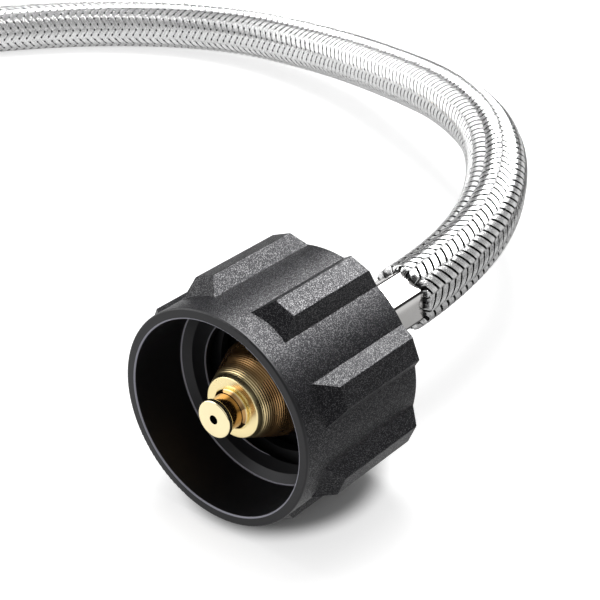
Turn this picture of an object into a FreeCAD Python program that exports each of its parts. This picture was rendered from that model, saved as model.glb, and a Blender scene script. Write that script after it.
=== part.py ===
"""Propane pigtail hose: a ribbed hand nut on a brass nipple, a steel braided hose and a flare nut.

The first end's axis lies along +Y. Sketches put the radius along X and the distance from the
nut's mouth, its station, along Y. The document then stands on the two lowest ribs, at Z = 0.
"""
import FreeCAD, Part
import math
import os
import Sketcher
from FreeCAD import Placement, Rotation, Vector

doc = FreeCAD.newDocument("propane_hose")
sheet = doc.addObject("Spreadsheet::Sheet", "sizes")

# Millimetres, radii and stations; a text is a formula of the sheet
SIZES = [
    # hand nut
    ("mouth_radius", 19.2),
    ("mouth_wall", 2.0),
    ("mouth_depth", 12.4),
    ("ledge_width", 0.5),
    ("ledge_depth", 1.2),
    ("flange_room", 2.0),
    ("thread_major_radius", 16.95),
    ("thread_minor_radius", 14.15),
    ("thread_pitch", 5.08),
    ("thread_root_width", 1.75),
    ("thread_flank_angle", 14.5),
    ("thread_overlap", 0.15),
    ("thread_runout", 0.2),
    ("back_wall", 4.5),
    ("dish_edge_radius", 16.5),
    ("dish_slope", 1.5),
    ("dish_depth", 0.7),
    ("rim_round", 0.35),
    # ribs of the hand nut
    ("rib_count", 8),
    ("rib_proud", 2.7),
    ("rib_bury", 0.6),
    ("rib_top_width", 4.4),
    ("rib_side_slope", 2.05),
    ("rib_root_front", 5.4),
    ("rib_front_slope", 3.2),
    ("rib_back_slope", 1.75),
    ("rib_round", 0.35),
    # clearances
    ("seat_gap", 0.1),
    ("turning_gap", 0.1),
    ("loose_gap", 0.25),
    ("nut_float", 2.9),
    # brass nipple
    ("nose_front", 5.0),
    ("nose_face_radius", 5.75),
    ("nose_edge", 0.3),
    ("nose_edge_width", 0.35),
    ("cone_length", 8.6),
    ("flange_radius", 9.7),
    ("flange_length", 8.9),
    ("flange_round", 2.0),
    ("flange_edge", 0.4),
    ("stem_radius", 5.5),
    ("passage_radius", 1.75),
    ("chamber_radius", 2.9),
    ("chamber_depth", 12.5),
    # barb that holds the hose
    ("barb_radius", 3.45),
    ("barb_cut", 0.3),
    ("barb_pitch", 3.0),
    ("barb_count", 5),
    ("barb_lead", 4.0),
    ("barb_end_gap", 1.0),
    # inlet tip
    ("tip_radius", 3.68),
    ("tip_thickness", 1.2),
    ("tip_edge", 0.2),
    ("tip_hole_radius", 0.9),
    ("neck_step", 0.38),
    ("neck_cone_length", 0.6),
    ("tip_flange_radius", 3.9),
    ("tip_flange_length", 0.7),
    ("tip_seat_depth", 0.2),
    ("tip_seat_gap", 0.2),
    ("shank_length", 3.8),
    # flow limiter: piston and spring
    ("piston_start_gap", 0.3),
    ("piston_side_gap", 0.3),
    ("piston_head_length", 2.5),
    ("pilot_side_gap", 0.25),
    ("pilot_end_gap", 1.9),
    ("pilot_point_gap", 0.55),
    ("pilot_point_length", 1.0),
    ("flute_count", 4),
    ("flute_width", 1.2),
    ("flute_depth", 0.7),
    ("spring_wire", 0.5),
    ("spring_turns", 5),
    ("spring_gap", 0.05),
    ("spring_side_gap", 0.15),
    # thermal bushing
    ("bushing_radius", 9.0),
    ("bushing_length", 4.5),
    ("bushing_edge", 0.4),
    # crimped ferrule, measured from its hose side
    ("ferrule_length", 21.8),
    ("ferrule_wall", 0.65),
    ("ferrule_lip", 1.3),
    ("ferrule_lip_height", 0.4),
    ("ferrule_collar_wall", 1.6),
    ("ferrule_collar_length", 3.8),
    ("ferrule_collar_round", 0.4),
    ("crimp_slope_length", 1.8),
    ("crimp_slope_bury", 0.05),
    ("crimp_overlap", 0.7),
    ("crimp_round", 0.4),
    ("crimp_twist", 5.0),
    # walls of the hose's layers: free, and squeezed under a ferrule
    ("hose_bore", 3.2),
    ("liner_wall", 1.4),
    ("textile_wall", 0.5),
    ("cover_wall", 1.2),
    ("braid_wall", 0.7),
    ("grip_gap", 0.05),
    ("squeezed_liner_wall", 0.5),
    ("squeezed_textile_wall", 0.15),
    ("squeezed_cover_wall", 0.25),
    ("squeezed_braid_wall", 0.3),
    ("hose_flare", 3.0),
    ("hose_end_gap", 0.2),
    # far stem and its flare nut
    ("tube_radius", 3.175),
    ("tube_wall", 0.875),
    ("tube_reach", 21.8),
    ("tube_lip", 0.6),
    ("tube_flare_length", 1.4),
    ("tube_flare_rise", 1.275),
    ("flare_nut_gap", 0.4),
    ("flare_nut_bore_gap", 0.125),
    ("flare_nut_flats", 11.11),
    ("flare_nut_hex_length", 7.0),
    ("flare_thread_radius", 5.556),
    ("flare_thread_length", 9.7),
    ("flare_thread_edge", 0.6),
    ("flare_nut_corner", 0.5),
    # radii and stations that follow from the sizes above
    ("cone_front_radius", "=nose_face_radius+nose_edge_width"),
    ("nose_edge_back", "=nose_front+nose_edge"),
    ("cone_back", "=nose_front+cone_length"),
    ("flange_back", "=cone_back+flange_length"),
    ("flange_edge_front", "=flange_back-flange_edge"),
    ("flange_edge_radius", "=flange_radius-flange_edge"),
    ("chamber_floor", "=nose_front+chamber_depth"),
    ("bushing_front", "=flange_back+seat_gap"),
    ("bushing_back", "=bushing_front+bushing_length"),
    ("bushing_bore", "=stem_radius+turning_gap"),
    ("bushing_edge_radius", "=bushing_radius-bushing_edge"),
    ("bushing_edge_front", "=bushing_front+bushing_edge"),
    ("bushing_edge_back", "=bushing_back-bushing_edge"),
    ("nut_radius", "=mouth_radius+mouth_wall"),
    ("ledge_radius", "=thread_major_radius+ledge_width"),
    ("pocket_floor", "=bushing_back+seat_gap"),
    ("pocket_radius", "=bushing_radius+turning_gap"),
    ("nut_length", "=pocket_floor+back_wall"),
    ("dish_radius", "=dish_edge_radius-dish_slope"),
    ("dish_floor", "=nut_length-dish_depth"),
    ("nut_hole_radius", "=stem_radius+loose_gap"),
    ("thread_front", "=mouth_depth+ledge_depth"),
    ("thread_floor", "=flange_back+flange_room"),
    ("thread_depth", "=thread_major_radius-thread_minor_radius+thread_overlap"),
    ("thread_flank", "=thread_depth*tan(thread_flank_angle)"),
    ("thread_groove_radius", "=thread_minor_radius-thread_overlap"),
    ("thread_groove_width", "=thread_root_width+2*thread_flank"),
    ("groove_start", "=thread_front-thread_groove_width-thread_runout"),
    ("groove_root_start", "=groove_start+thread_flank"),
    ("groove_root_end", "=groove_root_start+thread_root_width"),
    ("groove_end", "=groove_start+thread_groove_width"),
    ("thread_turns", "=(thread_floor-thread_runout-groove_end)/thread_pitch"),
    ("rib_top_radius", "=nut_radius+rib_proud"),
    ("rib_root_radius", "=nut_radius-rib_bury"),
    ("rib_top_front", "=rib_root_front+rib_front_slope"),
    ("rib_top_back", "=nut_length-rib_back_slope"),
    ("rib_top_half", "=rib_top_width/2"),
    ("rib_root_half", "=rib_top_half+rib_side_slope"),
    ("rib_rise", "=rib_top_radius-rib_root_radius"),
    ("rib_corner_side", "=rib_top_half-rib_round*(sqrt(rib_side_slope^2+rib_rise^2)"
                        "-rib_side_slope)/rib_rise"),
    ("rib_half_step", "=180/rib_count"),
    ("axis_height", "=(rib_top_radius-rib_round)*cos(rib_half_step)"
                    "+rib_corner_side*sin(rib_half_step)+rib_round"),
    ("ferrule_front", "=nut_length+nut_float+seat_gap"),
    ("ferrule_back", "=ferrule_front+ferrule_length"),
    ("half_length", "=ferrule_back/2"),
    ("lip_back", "=ferrule_front+ferrule_lip"),
    ("barb_back", "=ferrule_back-barb_end_gap"),
    ("barb_first", "=lip_back+barb_lead"),
    ("barb_ridge_back", "=barb_first+barb_pitch*0.8"),
    ("barb_floor", "=barb_radius-barb_cut"),
    ("tip_seat", "=nose_front+tip_seat_depth"),
    ("tip_seat_radius", "=tip_flange_radius+tip_seat_gap"),
    ("tip_edge_radius", "=tip_radius-tip_edge"),
    ("tip_edge_back", "=tip_thickness-tip_edge"),
    ("tip_flange_front", "=tip_seat-tip_flange_length"),
    ("neck_radius", "=tip_radius-neck_step"),
    ("neck_back", "=tip_flange_front-neck_cone_length"),
    ("shank_back", "=tip_seat+shank_length"),
    ("spring_radius", "=chamber_radius-spring_side_gap-spring_wire/2"),
    ("piston_front", "=shank_back+piston_start_gap"),
    ("piston_head_back", "=piston_front+piston_head_length"),
    ("piston_head_radius", "=chamber_radius-piston_side_gap"),
    ("pilot_radius", "=spring_radius-spring_wire/2-pilot_side_gap"),
    ("pilot_back", "=chamber_floor-pilot_end_gap"),
    ("pilot_point_radius", "=passage_radius-pilot_point_gap"),
    ("pilot_point_back", "=pilot_back+pilot_point_length"),
    ("flute_half", "=flute_width/2"),
    ("flute_floor_radius", "=piston_head_radius-flute_depth"),
    ("spring_front", "=piston_head_back+spring_gap+spring_wire/2"),
    ("spring_back", "=chamber_floor-spring_gap-spring_wire/2"),
    ("liner_radius", "=hose_bore+liner_wall"),
    ("textile_radius", "=liner_radius+textile_wall"),
    ("cover_radius", "=textile_radius+cover_wall"),
    ("braid_radius", "=cover_radius+braid_wall"),
    ("crimped_bore", "=barb_radius+grip_gap"),
    ("crimped_liner", "=crimped_bore+squeezed_liner_wall"),
    ("crimped_textile", "=crimped_liner+squeezed_textile_wall"),
    ("crimped_cover", "=crimped_textile+squeezed_cover_wall"),
    ("ferrule_bore", "=crimped_cover+squeezed_braid_wall"),
    ("lip_radius", "=ferrule_bore-ferrule_lip_height"),
    ("lip_start", "=ferrule_length-ferrule_lip"),
    ("ferrule_collar_radius", "=ferrule_bore+ferrule_collar_wall"),
    ("collar_start", "=ferrule_length-ferrule_collar_length"),
    ("crimp_flat_radius", "=ferrule_bore+ferrule_wall"),
    ("crimp_corner", "=crimp_flat_radius/cos(30)"),
    ("crimp_slope_start", "=collar_start-crimp_slope_length"),
    ("crimp_slope_radius", "=crimp_flat_radius-crimp_slope_bury"),
    ("crimp_length", "=crimp_slope_start+crimp_overlap"),
    ("tube_bore", "=tube_radius-tube_wall"),
    ("tube_end", "=ferrule_length+tube_reach"),
    ("tube_flare_radius", "=tube_radius+tube_flare_rise"),
    ("tube_flare_end", "=tube_end-tube_lip"),
    ("tube_flare_start", "=tube_flare_end-tube_flare_length"),
    ("tube_flare_lip", "=tube_flare_radius-tube_lip/2"),
    ("tube_flare_mouth", "=tube_end-(tube_flare_lip-tube_bore)"),
    ("flare_nut_bore", "=tube_radius+flare_nut_bore_gap"),
    ("flare_nut_end", "=tube_flare_start-flare_nut_gap"),
    ("flare_thread_start", "=flare_nut_end-flare_thread_length"),
    ("flare_nut_start", "=flare_thread_start-flare_nut_hex_length"),
    ("flare_thread_edge_start", "=flare_nut_end-flare_thread_edge"),
    ("flare_thread_tip_radius", "=flare_thread_radius-flare_thread_edge"),
    ("flare_nut_corner_radius", "=flare_nut_flats/2/cos(30)"),
    ("flare_nut_clear_radius", "=flare_nut_corner_radius+flare_nut_corner"),
    ("flare_nut_bevel_radius", "=flare_nut_corner_radius-flare_nut_corner"),
    ("flare_nut_bevel_back", "=flare_nut_start+flare_nut_corner"),
]
for row, (alias, content) in enumerate(SIZES, start=1):
    sheet.set("A%d" % row, alias)
    sheet.set("B%d" % row, str(content))
    sheet.setAlias("B%d" % row, alias)
doc.recompute()


def size(alias):
    """The value of a cell of the sheet, as a plain number."""
    return float(sheet.get(alias))


def origin_part(body, role):
    """A plane or axis of the body's own origin."""
    return next(part for part in body.Origin.OriginFeatures if part.Role == role)


def new_body(label):
    """An empty body with its name on it."""
    body = doc.addObject("PartDesign::Body", label)
    body.Label = label
    return body


def place_on_axis(body):
    """Set a body of the first end on the nut's axis, above the floor."""
    body.setExpression("Placement.Base.y", "-sizes.half_length")
    body.setExpression("Placement.Base.z", "sizes.axis_height")


def new_sketch(body, name, role="XY_Plane", lift=None):
    """A sketch on one of the body's planes, raised above it by a cell."""
    sketch = body.newObject("Sketcher::SketchObject", name)
    sketch.AttachmentSupport = [(origin_part(body, role), "")]
    sketch.MapMode = "FlatFace"
    if lift:
        sketch.setExpression("AttachmentOffset.Base.z", lift)
    return sketch


def draw_loop(sketch, points):
    """Closed straight lines through the points."""
    count = len(points)
    for number in range(count):
        line = Part.LineSegment(points[number], points[(number + 1) % count])
        sketch.addGeometry(line, False)
    for number in range(count):
        joint = Sketcher.Constraint("Coincident", number, 2, (number + 1) % count, 1)
        sketch.addConstraint(joint)


def tie(sketch, kind, corner, cell):
    """Hold one coordinate of a corner at the value of a cell, or on the axis if there is none."""
    if cell is None:
        axis = -2 if kind == "DistanceX" else -1
        sketch.addConstraint(Sketcher.Constraint("PointOnObject", corner, 1, axis))
        return
    rule = sketch.addConstraint(Sketcher.Constraint(kind, -1, 1, corner, 1, size(cell)))
    sketch.setExpression("Constraints[%d]" % rule, "sizes." + cell)


def outline(body, name, corners):
    """A closed outline whose corners are (radius, station) cells."""
    sketch = new_sketch(body, name)
    values = [[size(cell) if cell else 0.0 for cell in corner] for corner in corners]
    draw_loop(sketch, [Vector(radius, station, 0) for radius, station in values])
    for number, (radius, station) in enumerate(corners):
        tie(sketch, "DistanceX", number, radius)
        tie(sketch, "DistanceY", number, station)
    return sketch


def turn(body, name, corners, kind="PartDesign::Revolution"):
    """Turn an outline once round the body's own Y axis, as material or as a cut."""
    sketch = outline(body, name + "_outline", corners)
    feature = body.newObject(kind, name)
    feature.Profile = (sketch, [""])
    feature.ReferenceAxis = (sketch, ["V_Axis"])
    feature.Angle = 360
    return feature


def oblong(body, name, half_width, low, high, lift):
    """A rectangle centred on the Y axis, in a plane above it."""
    sketch = new_sketch(body, name, lift=lift)
    side, near, far = size(half_width), size(low), size(high)
    corners = [(side, near), (side, far), (-side, far), (-side, near)]
    draw_loop(sketch, [Vector(across, along, 0) for across, along in corners])
    for corner, station in ((0, low), (1, high)):
        tie(sketch, "DistanceX", corner, half_width)
        tie(sketch, "DistanceY", corner, station)
    for right, left in ((0, 3), (1, 2)):
        sketch.addConstraint(Sketcher.Constraint("Symmetric", right, 1, left, 1, -2))
    return sketch


def hexagon_prism(body, name, corner_radius, end, start=None):
    """A hexagonal prism round the body's Y axis, from a station or from its origin to another."""
    lift = "-sizes." + start if start else None
    sketch = new_sketch(body, name + "_outline", "XZ_Plane", lift)
    radius = size(corner_radius)
    turns = [math.radians(60 * number) for number in range(6)]
    draw_loop(sketch, [Vector(radius * math.sin(a), radius * math.cos(a), 0) for a in turns])
    rim = sketch.addGeometry(Part.Circle(Vector(), Vector(0, 0, 1), radius), True)
    sketch.addConstraint(Sketcher.Constraint("Coincident", rim, 3, -1, 1))
    rule = sketch.addConstraint(Sketcher.Constraint("Radius", rim, radius))
    sketch.setExpression("Constraints[%d]" % rule, "sizes." + corner_radius)
    for number in range(6):
        sketch.addConstraint(Sketcher.Constraint("PointOnObject", number, 1, rim))
    for number in range(5):
        sketch.addConstraint(Sketcher.Constraint("Equal", number, number + 1))
    sketch.addConstraint(Sketcher.Constraint("PointOnObject", 0, 1, -2))
    pad = body.newObject("PartDesign::Pad", name)
    pad.Profile = (sketch, [""])
    pad.Reversed = True
    pad.setExpression("Length", "sizes." + end + (" - sizes." + start if start else ""))
    return pad


def around(body, name, feature, count):
    """Repeat a feature evenly round the body's Y axis."""
    pattern = body.newObject("PartDesign::PolarPattern", name)
    pattern.Originals = [feature]
    pattern.Axis = (origin_part(body, "Y_Axis"), [""])
    pattern.Angle = 360
    pattern.setExpression("Occurrences", "sizes." + count)
    body.Tip = pattern
    return pattern


def edge_names(shape, chosen):
    """Names of the edges whose middle point is chosen."""
    names = []
    for number, edge in enumerate(shape.Edges, start=1):
        middle = edge.valueAt((edge.FirstParameter + edge.LastParameter) / 2)
        if chosen(edge, math.hypot(middle.x, middle.z), middle.y):
            names.append("Edge%d" % number)
    return names


def soften(body, name, chosen, radius):
    """Fillet the chosen edges of what the body is so far."""
    doc.recompute()
    base = body.Tip
    fillet = body.newObject("PartDesign::Fillet", name)
    fillet.Base = (base, edge_names(base.Shape, chosen))
    fillet.setExpression("Radius", "sizes." + radius)
    return fillet


def ring_edge(radius, station=None):
    """A test for the round edge with this radius at this station, or at the mouth."""
    place = size(station) if station else 0.0

    def chosen(edge, reach, along):
        near = abs(along - place) < 1e-3 and abs(reach - size(radius)) < 1e-3
        return near and isinstance(edge.Curve, Part.Circle)

    return chosen


# Hand nut: a turned shell with a coarse inner thread and ribs outside
def make_handwheel():
    body = new_body("handwheel")
    body.Placement = Placement(Vector(), Rotation(Vector(0, 1, 0), 180))
    place_on_axis(body)
    body.setExpression("Placement.Rotation.Angle", "180 + sizes.rib_half_step")
    turn(body, "shell", [
        ("mouth_radius", None),
        ("nut_radius", None),
        ("nut_radius", "nut_length"),
        ("dish_edge_radius", "nut_length"),
        ("dish_radius", "dish_floor"),
        ("nut_hole_radius", "dish_floor"),
        ("nut_hole_radius", "pocket_floor"),
        ("pocket_radius", "pocket_floor"),
        ("pocket_radius", "thread_floor"),
        ("thread_minor_radius", "thread_floor"),
        ("thread_minor_radius", "thread_front"),
        ("ledge_radius", "thread_front"),
        ("mouth_radius", "mouth_depth"),
    ])
    rib_root = oblong(body, "rib_root", "rib_root_half", "rib_root_front", "nut_length",
                      "sizes.rib_root_radius")
    rib_top = oblong(body, "rib_top", "rib_top_half", "rib_top_front", "rib_top_back",
                     "sizes.rib_top_radius")
    rib = body.newObject("PartDesign::AdditiveLoft", "rib")
    rib.Profile = (rib_root, [""])
    rib.Sections = [(rib_top, [""])]
    rib.Ruled = True
    doc.recompute()
    around(body, "ribs", rib, "rib_count")

    def rib_edge(edge, reach, along):
        on_shell = abs(reach - size("nut_radius")) < 0.02
        return isinstance(edge.Curve, Part.Line) and reach > size("nut_radius") and not on_shell

    soften(body, "rib_rounding", rib_edge, "rib_round")
    soften(body, "mouth_outer_edge", ring_edge("nut_radius"), "rim_round")
    soften(body, "mouth_inner_edge", ring_edge("mouth_radius"), "rim_round")
    groove = outline(body, "thread_outline", [
        ("thread_groove_radius", "groove_start"),
        ("thread_major_radius", "groove_root_start"),
        ("thread_major_radius", "groove_root_end"),
        ("thread_groove_radius", "groove_end"),
    ])
    thread = body.newObject("PartDesign::SubtractiveHelix", "thread")
    thread.Profile = (groove, [""])
    thread.ReferenceAxis = (groove, ["V_Axis"])
    thread.Mode = "pitch-turns-angle"
    thread.setExpression("Pitch", "sizes.thread_pitch")
    thread.setExpression("Turns", "sizes.thread_turns")
    thread.Reversed = False
    return body


# Thermal bushing: a ring that melts in a fire, between the nipple's flange and the hand nut
def make_thermal_bushing():
    body = new_body("thermal_bushing")
    place_on_axis(body)
    turn(body, "ring", [
        ("bushing_bore", "bushing_front"),
        ("bushing_edge_radius", "bushing_front"),
        ("bushing_radius", "bushing_edge_front"),
        ("bushing_radius", "bushing_edge_back"),
        ("bushing_edge_radius", "bushing_back"),
        ("bushing_bore", "bushing_back"),
    ])
    return body


# Nipple: sealing cone, flange, stem and barb, bored through
def make_nipple():
    body = new_body("nipple")
    place_on_axis(body)
    turn(body, "turned_brass", [
        ("chamber_radius", "tip_seat"),
        ("tip_seat_radius", "tip_seat"),
        ("tip_seat_radius", "nose_front"),
        ("nose_face_radius", "nose_front"),
        ("cone_front_radius", "nose_edge_back"),
        ("flange_radius", "cone_back"),
        ("flange_radius", "flange_edge_front"),
        ("flange_edge_radius", "flange_back"),
        ("stem_radius", "flange_back"),
        ("stem_radius", "ferrule_front"),
        ("lip_radius", "ferrule_front"),
        ("lip_radius", "lip_back"),
        ("barb_radius", "lip_back"),
        ("barb_radius", "barb_back"),
        ("passage_radius", "barb_back"),
        ("passage_radius", "chamber_floor"),
        ("chamber_radius", "chamber_floor"),
    ])
    ridge = turn(body, "barb_ridge", [
        ("barb_radius", "barb_first"),
        ("barb_radius", "barb_ridge_back"),
        ("barb_floor", "barb_ridge_back"),
    ], "PartDesign::Groove")
    doc.recompute()
    pattern = body.newObject("PartDesign::LinearPattern", "barb_ridges")
    pattern.Originals = [ridge]
    pattern.Direction = (origin_part(body, "Y_Axis"), [""])
    pattern.setExpression("Length", "sizes.barb_pitch * (sizes.barb_count - 1)")
    pattern.setExpression("Occurrences", "sizes.barb_count")
    body.Tip = pattern
    soften(body, "shoulder_rounding", ring_edge("flange_radius", "cone_back"), "flange_round")
    return body


# Inlet tip: the stepped probe pressed into the nipple's nose
def make_inlet_tip():
    body = new_body("inlet_tip")
    place_on_axis(body)
    turn(body, "turned_tip", [
        ("tip_hole_radius", None),
        ("tip_edge_radius", None),
        ("tip_radius", "tip_edge"),
        ("tip_radius", "tip_edge_back"),
        ("tip_edge_radius", "tip_thickness"),
        ("neck_radius", "tip_thickness"),
        ("neck_radius", "neck_back"),
        ("tip_flange_radius", "tip_flange_front"),
        ("tip_flange_radius", "tip_seat"),
        ("chamber_radius", "tip_seat"),
        ("chamber_radius", "shank_back"),
        ("tip_hole_radius", "shank_back"),
    ])
    return body


# Flow limiter: a fluted piston that a gas surge pushes onto its seat, against a light spring
def make_flow_piston():
    body = new_body("flow_piston")
    place_on_axis(body)
    turn(body, "turned_piston", [
        (None, "piston_front"),
        ("piston_head_radius", "piston_front"),
        ("piston_head_radius", "piston_head_back"),
        ("pilot_radius", "piston_head_back"),
        ("pilot_radius", "pilot_back"),
        ("pilot_point_radius", "pilot_point_back"),
        (None, "pilot_point_back"),
    ])
    slot = oblong(body, "flute_outline", "flute_half", "piston_front", "piston_head_back",
                  "sizes.flute_floor_radius")
    flute = body.newObject("PartDesign::Pocket", "flute")
    flute.Profile = (slot, [""])
    flute.Reversed = True
    flute.setExpression("Length", "sizes.piston_head_radius")
    doc.recompute()
    around(body, "flutes", flute, "flute_count")
    return body


def make_flow_spring():
    """A helix of round wire between the piston's head and the chamber's floor."""
    front, back = size("spring_front"), size("spring_back")
    radius, wire = size("spring_radius"), size("spring_wire") / 2
    height = back - front
    helix = Part.makeHelix(height / size("spring_turns"), height, radius)
    start = Part.Circle(Vector(radius, 0, 0), Vector(0, 1, 0), wire).toShape()
    coil = Part.Wire(helix.Edges).makePipeShell([Part.Wire(start)], True, True)
    spring = doc.addObject("Part::Feature", "flow_spring")
    spring.Label = "flow_spring"
    spring.Shape = coil if coil.Volume > 0 else coil.reversed()
    lying = Rotation(Vector(1, 0, 0), -90)
    spring.Placement = Placement(Vector(0, front - size("half_length"), size("axis_height")), lying)
    length = size("spring_turns") * math.hypot(2 * math.pi * radius, height / size("spring_turns"))
    print("spring volume %.2f, wire section times length %.2f"
          % (spring.Shape.Volume, math.pi * wire ** 2 * length))
    return spring


# Ferrule: a steel sleeve with a round collar, its long end pressed to a hexagon on the hose
def make_ferrule(label):
    body = new_body(label)
    hexagon_prism(body, "crimp", "crimp_corner", "crimp_length")

    def crimp_edge(edge, reach, along):
        return isinstance(edge.Curve, Part.Line) and abs(edge.tangentAt(0).y) > 0.9

    soften(body, "crimp_rounding", crimp_edge, "crimp_round")
    turn(body, "collar", [
        (None, "crimp_slope_start"),
        ("crimp_slope_radius", "crimp_slope_start"),
        ("ferrule_collar_radius", "collar_start"),
        ("ferrule_collar_radius", "ferrule_length"),
        (None, "ferrule_length"),
    ])
    soften(body, "collar_rounding", ring_edge("ferrule_collar_radius", "ferrule_length"),
           "ferrule_collar_round")
    turn(body, "bore", [
        (None, None),
        ("ferrule_bore", None),
        ("ferrule_bore", "lip_start"),
        ("lip_radius", "lip_start"),
        ("lip_radius", "ferrule_length"),
        (None, "ferrule_length"),
    ], "PartDesign::Groove")
    return body


# Far stem: a barb in the second ferrule and a tube whose end is flared
def make_far_stem():
    body = new_body("far_stem")
    turn(body, "turned_stem", [
        ("tube_bore", "barb_end_gap"),
        ("barb_radius", "barb_end_gap"),
        ("barb_radius", "lip_start"),
        ("lip_radius", "lip_start"),
        ("lip_radius", "ferrule_length"),
        ("tube_radius", "ferrule_length"),
        ("tube_radius", "tube_flare_start"),
        ("tube_flare_radius", "tube_flare_end"),
        ("tube_flare_lip", "tube_end"),
        ("tube_bore", "tube_flare_mouth"),
    ])
    return body


# Flare nut: hexagon and male thread, loose on the far stem behind its flare
def make_swivel_nut():
    body = new_body("swivel_nut")
    hexagon_prism(body, "hexagon", "flare_nut_corner_radius", "flare_thread_start",
                  "flare_nut_start")
    turn(body, "threaded_end", [
        (None, "flare_nut_start"),
        ("flare_nut_bore", "flare_nut_start"),
        ("flare_thread_radius", "flare_thread_start"),
        ("flare_thread_radius", "flare_thread_edge_start"),
        ("flare_thread_tip_radius", "flare_nut_end"),
        (None, "flare_nut_end"),
    ])
    turn(body, "bore", [
        (None, "flare_nut_start"),
        ("flare_nut_bore", "flare_nut_start"),
        ("flare_nut_bore", "flare_nut_end"),
        (None, "flare_nut_end"),
    ], "PartDesign::Groove")
    turn(body, "corner_bevel", [
        ("flare_nut_bevel_radius", "flare_nut_start"),
        ("flare_nut_clear_radius", "flare_nut_start"),
        ("flare_nut_clear_radius", "flare_nut_bevel_back"),
    ], "PartDesign::Groove")
    return body


# The hose leaves the first ferrule at the axis's height, bends round and lies down on the floor.
# Its points: across, beyond the first ferrule, and above the floor
FIRST_RUN = 16.5
LYING = size("braid_radius")
ROUTE = [
    (-5.3, 42.3, 25.4),
    (-21.5, 68.0, 27.9),
    (-46.5, 87.5, 25.9),
    (-78.0, 106.8, 19.1),
    (-114.5, 124.0, 12.1),
    (-155.5, 127.3, 8.9),
    (-193.0, 110.0, LYING),
    (-221.5, 76.0, LYING),
    (-235.0, 47.3, LYING),
    (-241.0, 30.3, LYING),
]
ARC_SHARE = 0.45


def hose_points():
    """The route in the part's frame, from one ferrule's hose side to the other's."""
    start = Vector(0, size("half_length"), size("axis_height"))
    points = [start, start + Vector(0, FIRST_RUN, 0)]
    return points + [Vector(across, start.y + beyond, above) for across, beyond, above in ROUTE]


def hose_wire(points, report=False):
    """Straight runs joined by tangent arcs, each as large as its two runs allow."""
    edges = []
    radii = []
    last = points[0]
    for before, corner, after in zip(points, points[1:], points[2:]):
        incoming, outgoing = corner - before, after - corner
        reach = ARC_SHARE * min(incoming.Length, outgoing.Length)
        half_turn = incoming.getAngle(outgoing) / 2
        radius = reach / math.tan(half_turn)
        radii.append(radius)
        incoming.normalize()
        outgoing.normalize()
        inward = (outgoing - incoming).normalize()
        middle = corner + inward * (radius / math.cos(half_turn) - radius)
        arc_start, arc_end = corner - incoming * reach, corner + outgoing * reach
        edges.append(Part.LineSegment(last, arc_start).toShape())
        edges.append(Part.Arc(arc_start, middle, arc_end).toShape())
        last = arc_end
    edges.append(Part.LineSegment(last, points[-1]).toShape())
    if report:
        print("hose bend radii", [round(radius) for radius in radii])
    return Part.Wire(edges)


def swept_disc(wire, start, direction, radius):
    """The solid that a disc sweeps along the hose."""
    rim = Part.Wire(Part.Circle(start, direction, radius).toShape())
    return wire.makePipeShell([rim], True, False)


def layer_end(inner, outer, crimped_inner, crimped_outer):
    """A layer's end, turned about Y: squeezed in the ferrule, then flaring to its free size."""
    depth, flare = size("lip_start") - size("hose_end_gap"), size("hose_flare")
    corners = [(crimped_inner, -depth), (crimped_outer, -depth), (crimped_outer, 0),
               (outer, flare), (inner, flare), (crimped_inner, 0), (crimped_inner, -depth)]
    face = Part.Face(Part.makePolygon([Vector(radius, along, 0) for radius, along in corners]))
    return face.revolve(Vector(), Vector(0, 1, 0), 360)


def make_hose_layer(label, inner, outer, crimped_inner, crimped_outer):
    """One layer of the hose, from inside the first ferrule to inside the second."""
    points = hose_points()
    first = (points[1] - points[0]).normalize()
    last = (points[-1] - points[-2]).normalize()
    ends = layer_end(size(inner), size(outer), size(crimped_inner), size(crimped_outer))
    near_end = ends.copy()
    near_end.Placement = Placement(points[0], Rotation(Vector(0, 1, 0), first))
    far_end = ends.copy()
    far_end.Placement = Placement(points[-1], Rotation(Vector(0, 1, 0), -last))
    flare = size("hose_flare")
    points[0] = points[0] + first * flare
    points[-1] = points[-1] - last * flare
    wire = hose_wire(points)
    tube = swept_disc(wire, points[0], first, size(outer))
    tube = tube.cut(swept_disc(wire, points[0], first, size(inner)))
    section = math.pi * (size(outer) ** 2 - size(inner) ** 2)
    print("%s: volume %.1f, section times length %.1f" % (label, tube.Volume, section * wire.Length))
    layer = doc.addObject("Part::Feature", label)
    layer.Label = label
    layer.Shape = tube.fuse([near_end, far_end]).removeSplitter()
    return layer


def set_on_far_end(body):
    """Stand a body of the far end where the hose ends, its Y axis along the last run."""
    points = hose_points()
    direction = (points[-1] - points[-2]).normalize()
    body.Placement = Placement(points[-1], Rotation(Vector(0, 1, 0), direction))


near_ferrule = make_ferrule("near_ferrule")
facing_hose = Rotation(Vector(0, 0, 1), 180) * Rotation(Vector(0, 1, 0), size("crimp_twist"))
near_ferrule.Placement = Placement(hose_points()[0], facing_hose)
far_pieces = [make_ferrule("far_ferrule"), make_far_stem(), make_swivel_nut()]
for piece in far_pieces:
    set_on_far_end(piece)

parts = [
    make_handwheel(),
    make_thermal_bushing(),
    make_nipple(),
    make_inlet_tip(),
    make_flow_piston(),
    make_flow_spring(),
    near_ferrule,
    make_hose_layer("hose_liner", "hose_bore", "liner_radius", "crimped_bore", "crimped_liner"),
    make_hose_layer("hose_textile", "liner_radius", "textile_radius",
                    "crimped_liner", "crimped_textile"),
    make_hose_layer("hose_cover", "textile_radius", "cover_radius",
                    "crimped_textile", "crimped_cover"),
    make_hose_layer("steel_braid", "cover_radius", "braid_radius",
                    "crimped_cover", "ferrule_bore"),
] + far_pieces
doc.recompute()

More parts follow.
